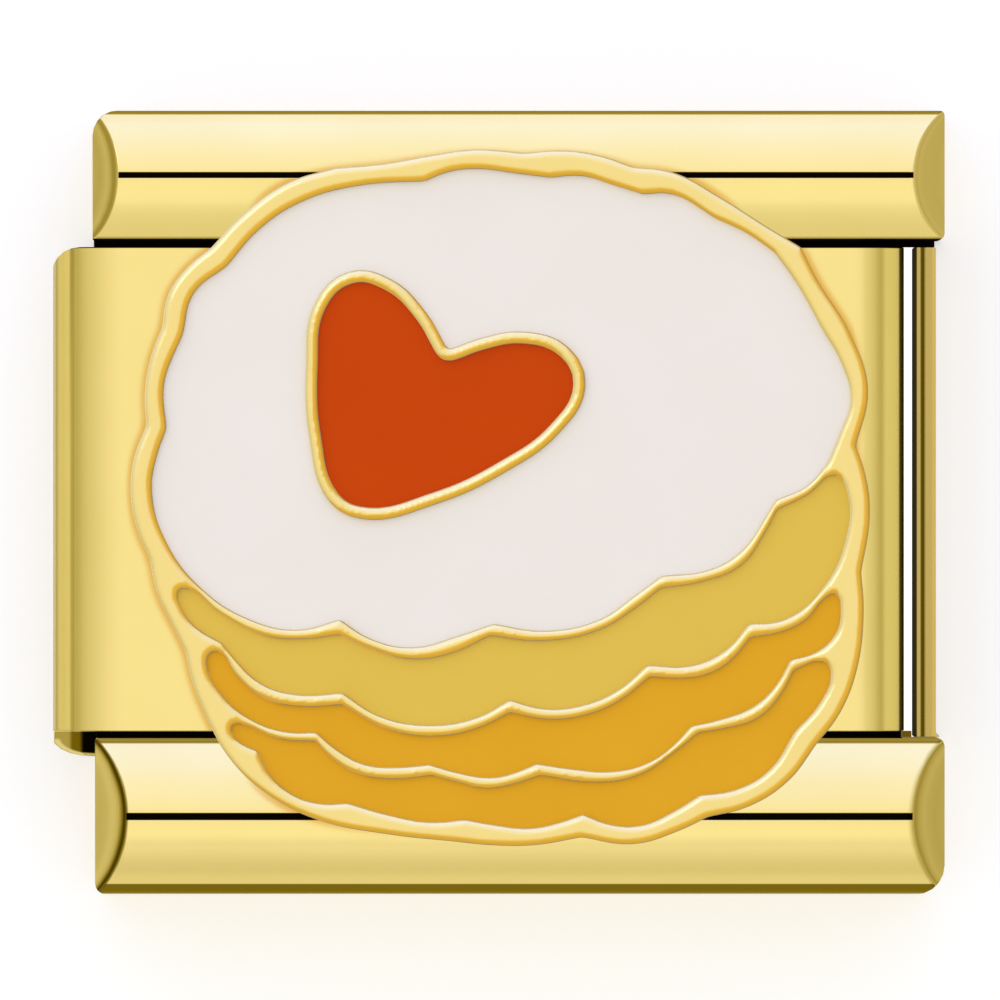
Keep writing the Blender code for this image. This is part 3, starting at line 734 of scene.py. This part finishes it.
# %% [markdown]
# The sleeve shows its folds as soft stripes, which its shape gives by itself. A few places get painted shade:
# a darker line along the outer fold, the edges beside the slit and the upper rail, and the ear at the lower
# left. The ear is the end of the sleeve's under half. Its end face gets painted shade, a painted highlight
# follows its rounded corner as a bright lip, which is part of an ellipse, and the hollow behind it is painted
# black as shade.

# %% Sleeve
FOLD_SHADE_LINE = (-4.917, -4.868)
SLIT_SHADE = (4.575, 4.605)
SLIT_MATT = (4.59, 4.61)
TOP_EDGE_SHADE = (2.914, 2.922)
EAR_TOP = (-2.62, -2.64)
EAR_SHADE = (-4.95, -4.895)
LIP_MIDDLE = (-4.64, -2.70)
LIP_RADII = (0.48, 0.22)
LIP_SHARE = (0.80, 0.90)
LIP_TOP = (-2.70, -2.74)
HOLLOW_EDGE = (-4.83, -4.77)


def share_of_ellipse(tree, x, y, middle, radii):
    """How far a place is from an ellipse's middle, 1 on the ellipse itself."""
    squares = []
    for value, centre, radius in zip((x, y), middle, radii):
        offset = maths(tree, "DIVIDE", maths(tree, "SUBTRACT", value, centre), radius)
        squares.append(maths(tree, "MULTIPLY", offset, offset))
    return maths(tree, "SQRT", maths(tree, "ADD", *squares))


def sleeve_gold(name):
    finish, tree, shader, colour, place = polished_gold(name, (1, 0.05, 1), 0.18)
    x, y, _ = axes(tree, place)
    _, _, turn_z = facing(tree)
    # Painted shade along the outer fold and beside the slit.
    colour = tint(tree, inside(tree, x, *FOLD_SHADE_LINE, 0.012), colour, srgb(216, 193, 111))
    colour = tint(tree, between(tree, x, *SLIT_SHADE), colour, srgb(146, 122, 32))

    # Painted shade on the ear's end face, a painted highlight on its lip, and black painted shade in the
    # hollow.
    ear = between(tree, y, *EAR_TOP)
    end_face = product(tree, ear, between(tree, turn_z, 0.90, 0.98))
    shade = tint(tree, between(tree, x, *EAR_SHADE), srgb(174, 152, 69), srgb(114, 92, 9))
    colour = tint(tree, end_face, colour, shade)
    outward = share_of_ellipse(tree, x, y, LIP_MIDDLE, LIP_RADII)
    lip = product(tree, between(tree, outward, *LIP_SHARE), between(tree, y, *LIP_TOP))
    colour = tint(tree, lip, colour, srgb(226, 206, 128))
    hollow = product(tree, ear, between(tree, x, *HOLLOW_EDGE), opposite(tree, lip))

    # Black painted shade along the top edge beside the upper rail and in the hollow; the slit's edge is matt
    # too.
    dark = maths(tree, "MAXIMUM", between(tree, y, *TOP_EDGE_SHADE), hollow)
    paint(tree, shader, colour, dark, matt=between(tree, x, *SLIT_MATT))
    return finish


dress(sleeve, sleeve_gold("sleeve_gold"))
print("sleeve dressed")

# %% [markdown]
# The hook bar stands lower than everything else and is rougher. Its colour gets painted shade, lighter only
# at its right end, a dark line runs along it, and its edge at the slit gets black painted shade.

# %% Hook bar
BAR_DARK_LINE = (4.846, 4.893)
BAR_EDGE_SHADE = (4.812, 4.795)
BAR_SHADE_STEP = (4.96, 5.0)


def bar_gold(name):
    finish, tree, shader, colour, place = polished_gold(name, (1, 0.05, 1), 0.22)
    x, _, _ = axes(tree, place)
    # Painted shade on the bar's body, lighter only at its right end.
    body = tint(tree, between(tree, x, *BAR_SHADE_STEP), srgb(187, 162, 85), srgb(204, 176, 94))
    colour = tint(tree, 0.9, colour, body)
    # A dark line along the bar, and black painted shade on its edge at the slit.
    colour = tint(tree, inside(tree, x, *BAR_DARK_LINE, 0.008), colour, srgb(92, 72, 4))
    paint(tree, shader, colour, maths(tree, "MULTIPLY", between(tree, x, *BAR_EDGE_SHADE), 0.94))
    return finish


dress(hook_bar, bar_gold("hook_bar_gold"))
print("hook bar dressed")

# %% [markdown]
# ## The plate with its raised walls
# On the real plate the rim and the walls between the colours are rounded all over, because they are cast
# and then polished. The CAD plate has only a narrow rounding. A new skin is made from it: the solid is
# turned into an even mesh of tiny squares, the squares are smoothed until every edge is soft, and the flat
# areas are then thinned out again. It is done in millimetres and scaled back, because these tools don't
# work at this size.

# %% Round the plate's walls
PLATE_GRID = 0.022
SMOOTH_ROUNDS = 9
KEEP_SHARE = 0.24
SWELL = 0.012

plate = as_piece(copy_in_mm("charm_plate"), "biscuit_plate")
remesh = plate.modifiers.new("even squares", "REMESH")
remesh.mode = "VOXEL"
remesh.voxel_size = PLATE_GRID
smooth = plate.modifiers.new("soften", "SMOOTH")
smooth.factor = 0.5
smooth.iterations = SMOOTH_ROUNDS
swell = plate.modifiers.new("give back what softening took", "DISPLACE")
swell.strength = SWELL
swell.mid_level = 0.0
thin = plate.modifiers.new("thin out", "DECIMATE")
thin.ratio = KEEP_SHARE
settle(plate, "charm_plate")
plate.data.shade_smooth()

# %% [markdown]
# The plate's walls look softer than the link. Where they face the upper left they get a painted highlight,
# pale, almost cream, and where they face the lower right they get painted shade in deep amber, as on brushed
# gold under one wide lamp. The direction in which the surface faces is one number: the normal's share along
# the way to the lamp. Two blends turn it into the painted highlight and the painted shade. The steepest part
# of the lower right side gets a brown painted shade, which draws the thin dark line below the rim. The
# highlight side is less metallic, since a matt skin there scatters the lamp's light, and that lifts it above
# the tone of the mirror image.

# %% Plate gold
HIGHLIGHT_CREAM = srgb(250, 232, 170)
AMBER_SHADE = srgb(234, 184, 68)
BRINK_SHADE = srgb(120, 84, 30)
HALF_DIAGONAL = 0.707
PALE_MATT = 0.22
STEEP_MATT = 0.42


def plate_gold(name):
    """A softer polish than the link's, with a cream painted highlight towards the upper left and amber
    painted shade towards the lower right.
    """
    finish, tree, shader = new_finish(name)
    place = place_in_mm(tree)
    turn_x, turn_y, turn_z = facing(tree)
    to_lamp = maths(tree, "MULTIPLY", maths(tree, "SUBTRACT", turn_y, turn_x), HALF_DIAGONAL)
    steep = maths(tree, "MULTIPLY", opposite(tree, turn_z), 0.45)
    mottle = grain(tree, place, 3.0, 3.0)
    fine = grain(tree, place, 45.0, 2.0)
    colour = tint(tree, spread(tree, mottle, 0.0, 0.25), srgb(246, 222, 142), srgb(240, 212, 126))
    # Painted highlight on faces towards the lamp, amber painted shade on faces away from it, and brown
    # painted shade on the steepest of those.
    pale = between(tree, to_lamp, 0.08, 0.80)
    amber = between(tree, maths(tree, "SUBTRACT", to_lamp, steep), -0.015, -0.28)
    brink_shade = product(tree, between(tree, turn_z, 0.42, 0.22), between(tree, to_lamp, -0.35, -0.6))
    colour = tint(tree, pale, colour, HIGHLIGHT_CREAM)
    colour = tint(tree, amber, colour, AMBER_SHADE)
    plug(tree, tint(tree, brink_shade, colour, BRINK_SHADE), shader.inputs["Base Color"])
    plug(tree, spread(tree, mottle, 0.24, 0.32), shader.inputs["Roughness"])
    # The matt skin on the lamp side lifts the painted highlight.
    steep_matt = maths(tree, "MULTIPLY", between(tree, turn_z, 0.7, 0.3), STEEP_MATT)
    matt = maths(tree, "ADD", PALE_MATT, steep_matt)
    plug(tree, opposite(tree, product(tree, pale, matt)), shader.inputs["Metallic"])
    bumps(tree, shader, fine, 0.0003, 0.5)
    return finish


dress(plate, plate_gold("biscuit_plate_gold"))
plate.visible_glossy = False
print("plate dressed")

# %% [markdown]
# ## Enamel
# Each cell is filled with enamel, which is coloured glass or resin. It looks even, but up close there are
# small differences: the colour is a trace deeper in slow clouds, there are fine specks of pigment, and the
# surface has a very shallow wave. Its shine is weak and soft, so it mirrors little and its roughness is
# middling.

# %% Fill the cells
FILL_REACH = 0.022
MENISCUS = ((0.020, -0.006), (0.035, -0.004))
FILL_SHARP = math.radians(60)


def enamel_fill(node):
    """Widens the enamel a little to meet the rounded walls, and lets it sink away from its border."""
    bm = copy_in_mm(node)
    top = max(vertex.co.z for vertex in bm.verts)
    moves = {}
    for vertex in bm.verts:
        outward = Vector((0, 0, 0))
        for face in vertex.link_faces:
            if abs(face.normal.z) < 0.5:
                outward += face.normal
        moves[vertex] = outward.normalized() * FILL_REACH
    for vertex, move in moves.items():
        vertex.co += move
    for inset, sink in MENISCUS:
        bm.normal_update()
        faces = [f for f in bm.faces if f.normal.z > 0.5 and all(v.co.z > top - 0.01 for v in f.verts)]
        bmesh.ops.inset_region(
            bm, faces=faces, thickness=inset, depth=sink, use_boundary=True, use_even_offset=True,
        )
        top += sink
    piece = as_piece(bm, node + "_fill")
    piece.data.shade_smooth()
    piece.data.set_sharp_from_angle(angle=FILL_SHARP)
    normals = piece.modifiers.new("flat faces stay flat", "WEIGHTED_NORMAL")
    normals.weight = 60
    normals.keep_sharp = True
    return settle(piece, node)


print("cells can be filled")

# %% Enamel finish
def enamel(name, colour, deeper, roughness=0.42):
    finish, tree, shader = new_finish(name)
    place = place_in_mm(tree)
    clouds = grain(tree, place, 0.9, 3.0)
    specks = grain(tree, place, 60.0, 2.0)
    shade = tint(tree, spread(tree, clouds, 0.0, 0.5), colour, deeper)
    shade = tint(tree, between(tree, specks, 0.66, 0.74), shade, deeper)
    plug(tree, shade, shader.inputs["Base Color"])
    plug(tree, spread(tree, specks, roughness - 0.04, roughness + 0.04), shader.inputs["Roughness"])
    shader.inputs["Specular IOR Level"].default_value = 0.06
    bumps(tree, shader, clouds, 0.004, 0.3)
    return finish


# Node of the cell, slot, name of the finish, its colour and the trace deeper colour of its clouds
CELLS = (
    ("enamel_icing", "enamel_white", "icing_enamel", (237, 230, 216), (233, 225, 210)),
    ("enamel_heart", "enamel_red", "heart_enamel", (201, 68, 0), (194, 62, 0)),
    ("enamel_layer_upper", "enamel_ochre", "upper_layer_enamel", (225, 190, 77), (219, 183, 70)),
    ("enamel_layer_middle", "enamel_amber", "middle_layer_enamel", (226, 167, 34), (219, 160, 30)),
    ("enamel_layer_lower", "enamel_amber", "lower_layer_enamel", (226, 167, 34), (219, 160, 30)),
)
for node, slot, finish_name, colour, deeper in CELLS:
    cell = enamel_fill(node)
    dress(cell, enamel(finish_name, srgb(*colour), srgb(*deeper)))
    cell.visible_glossy = False
print("enamel dressed")
